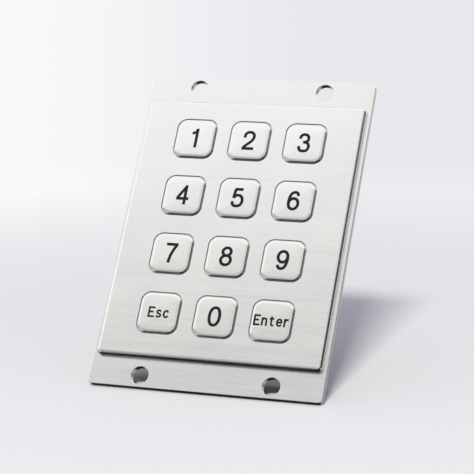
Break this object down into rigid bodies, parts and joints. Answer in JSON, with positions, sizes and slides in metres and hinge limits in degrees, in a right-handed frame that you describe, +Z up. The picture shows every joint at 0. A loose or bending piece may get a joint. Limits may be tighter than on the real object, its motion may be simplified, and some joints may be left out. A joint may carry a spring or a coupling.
{
  "type": "keypad access reader",
  "caption": "Flush-mounted brushed steel keypad for door access: a raised panel of sprung metal keys on a screw-fixed plate, with a housed circuit board behind.",
  "frame": {"origin": "centre of the four fixing holes, on the mounting plate's rear seating face", "axes": "+Z up along the plate's height, +X to the right seen from the front, +Y into the wall: the keys face -Y"},
  "size_m": [0.0782, 0.0196, 0.111],
  "materials": {
    "plate_steel": "satin, fine horizontal grain",
    "panel_steel": "satin, fine horizontal grain",
    "key_steel": "satin, fine horizontal grain",
    "zinc_steel": "bright zinc plate",
    "brass": "turned",
    "gold_plate": "thin gold plate",
    "tinned_metal": "matt tin",
    "can_aluminium": "drawn can",
    "silicone": "matt moulded silicone",
    "seal_rubber": "matt closed-cell rubber",
    "carbon": "matt conductive rubber",
    "board_laminate": "solder resist over glass laminate",
    "chip_epoxy": "moulded epoxy",
    "connector_plastic": "moulded polyamide",
    "nylon": "natural nylon",
    "housing_plastic": "fine spark-eroded texture"
  },
  "bodies": {
    "chassis": {"mounting_plate": "plate_steel", "front_panel": "panel_steel", "panel_seal": "seal_rubber", "seat_gasket": "seal_rubber", "keypad_mat": "silicone", "circuit_board": "board_laminate", "contact_pads": "gold_plate", "controller_chip": "chip_epoxy", "chip_leads": "tinned_metal", "voltage_regulator": "chip_epoxy", "capacitors": "can_aluminium", "resistors": "chip_epoxy", "crystal": "can_aluminium", "buzzer": "chip_epoxy", "connector_shroud": "connector_plastic", "connector_pins": "gold_plate", "panel_studs": "zinc_steel", "board_washers": "nylon", "hex_standoffs": "brass", "stud_nuts": "zinc_steel", "rear_housing": "housing_plastic", "housing_screws": "zinc_steel", "dome_1": "silicone", "dome_2": "silicone", "dome_3": "silicone", "dome_4": "silicone", "dome_5": "silicone", "dome_6": "silicone", "dome_7": "silicone", "dome_8": "silicone", "dome_9": "silicone", "dome_esc": "silicone", "dome_0": "silicone", "dome_enter": "silicone"},
    "key_1_body": {"key_1": "key_steel", "pill_1": "carbon"},
    "key_2_body": {"key_2": "key_steel", "pill_2": "carbon"},
    "key_3_body": {"key_3": "key_steel", "pill_3": "carbon"},
    "key_4_body": {"key_4": "key_steel", "pill_4": "carbon"},
    "key_5_body": {"key_5": "key_steel", "pill_5": "carbon"},
    "key_6_body": {"key_6": "key_steel", "pill_6": "carbon"},
    "key_7_body": {"key_7": "key_steel", "pill_7": "carbon"},
    "key_8_body": {"key_8": "key_steel", "pill_8": "carbon"},
    "key_9_body": {"key_9": "key_steel", "pill_9": "carbon"},
    "key_esc_body": {"key_esc": "key_steel", "pill_esc": "carbon"},
    "key_0_body": {"key_0": "key_steel", "pill_0": "carbon"},
    "key_enter_body": {"key_enter": "key_steel", "pill_enter": "carbon"}
  },
  "joints": [
    {"name": "press_1", "type": "slide", "parent": "chassis", "child": "key_1_body", "axis": [0, 1, 0], "range_m": [0, 0.0005], "stiffness_N_per_m": 1500, "deforming": ["dome_1"]},
    {"name": "press_2", "type": "slide", "parent": "chassis", "child": "key_2_body", "axis": [0, 1, 0], "range_m": [0, 0.0005], "stiffness_N_per_m": 1500, "deforming": ["dome_2"]},
    {"name": "press_3", "type": "slide", "parent": "chassis", "child": "key_3_body", "axis": [0, 1, 0], "range_m": [0, 0.0005], "stiffness_N_per_m": 1500, "deforming": ["dome_3"]},
    {"name": "press_4", "type": "slide", "parent": "chassis", "child": "key_4_body", "axis": [0, 1, 0], "range_m": [0, 0.0005], "stiffness_N_per_m": 1500, "deforming": ["dome_4"]},
    {"name": "press_5", "type": "slide", "parent": "chassis", "child": "key_5_body", "axis": [0, 1, 0], "range_m": [0, 0.0005], "stiffness_N_per_m": 1500, "deforming": ["dome_5"]},
    {"name": "press_6", "type": "slide", "parent": "chassis", "child": "key_6_body", "axis": [0, 1, 0], "range_m": [0, 0.0005], "stiffness_N_per_m": 1500, "deforming": ["dome_6"]},
    {"name": "press_7", "type": "slide", "parent": "chassis", "child": "key_7_body", "axis": [0, 1, 0], "range_m": [0, 0.0005], "stiffness_N_per_m": 1500, "deforming": ["dome_7"]},
    {"name": "press_8", "type": "slide", "parent": "chassis", "child": "key_8_body", "axis": [0, 1, 0], "range_m": [0, 0.0005], "stiffness_N_per_m": 1500, "deforming": ["dome_8"]},
    {"name": "press_9", "type": "slide", "parent": "chassis", "child": "key_9_body", "axis": [0, 1, 0], "range_m": [0, 0.0005], "stiffness_N_per_m": 1500, "deforming": ["dome_9"]},
    {"name": "press_esc", "type": "slide", "parent": "chassis", "child": "key_esc_body", "axis": [0, 1, 0], "range_m": [0, 0.0005], "stiffness_N_per_m": 1500, "deforming": ["dome_esc"]},
    {"name": "press_0", "type": "slide", "parent": "chassis", "child": "key_0_body", "axis": [0, 1, 0], "range_m": [0, 0.0005], "stiffness_N_per_m": 1500, "deforming": ["dome_0"]},
    {"name": "press_enter", "type": "slide", "parent": "chassis", "child": "key_enter_body", "axis": [0, 1, 0], "range_m": [0, 0.0005], "stiffness_N_per_m": 1500, "deforming": ["dome_enter"]}
  ]
}
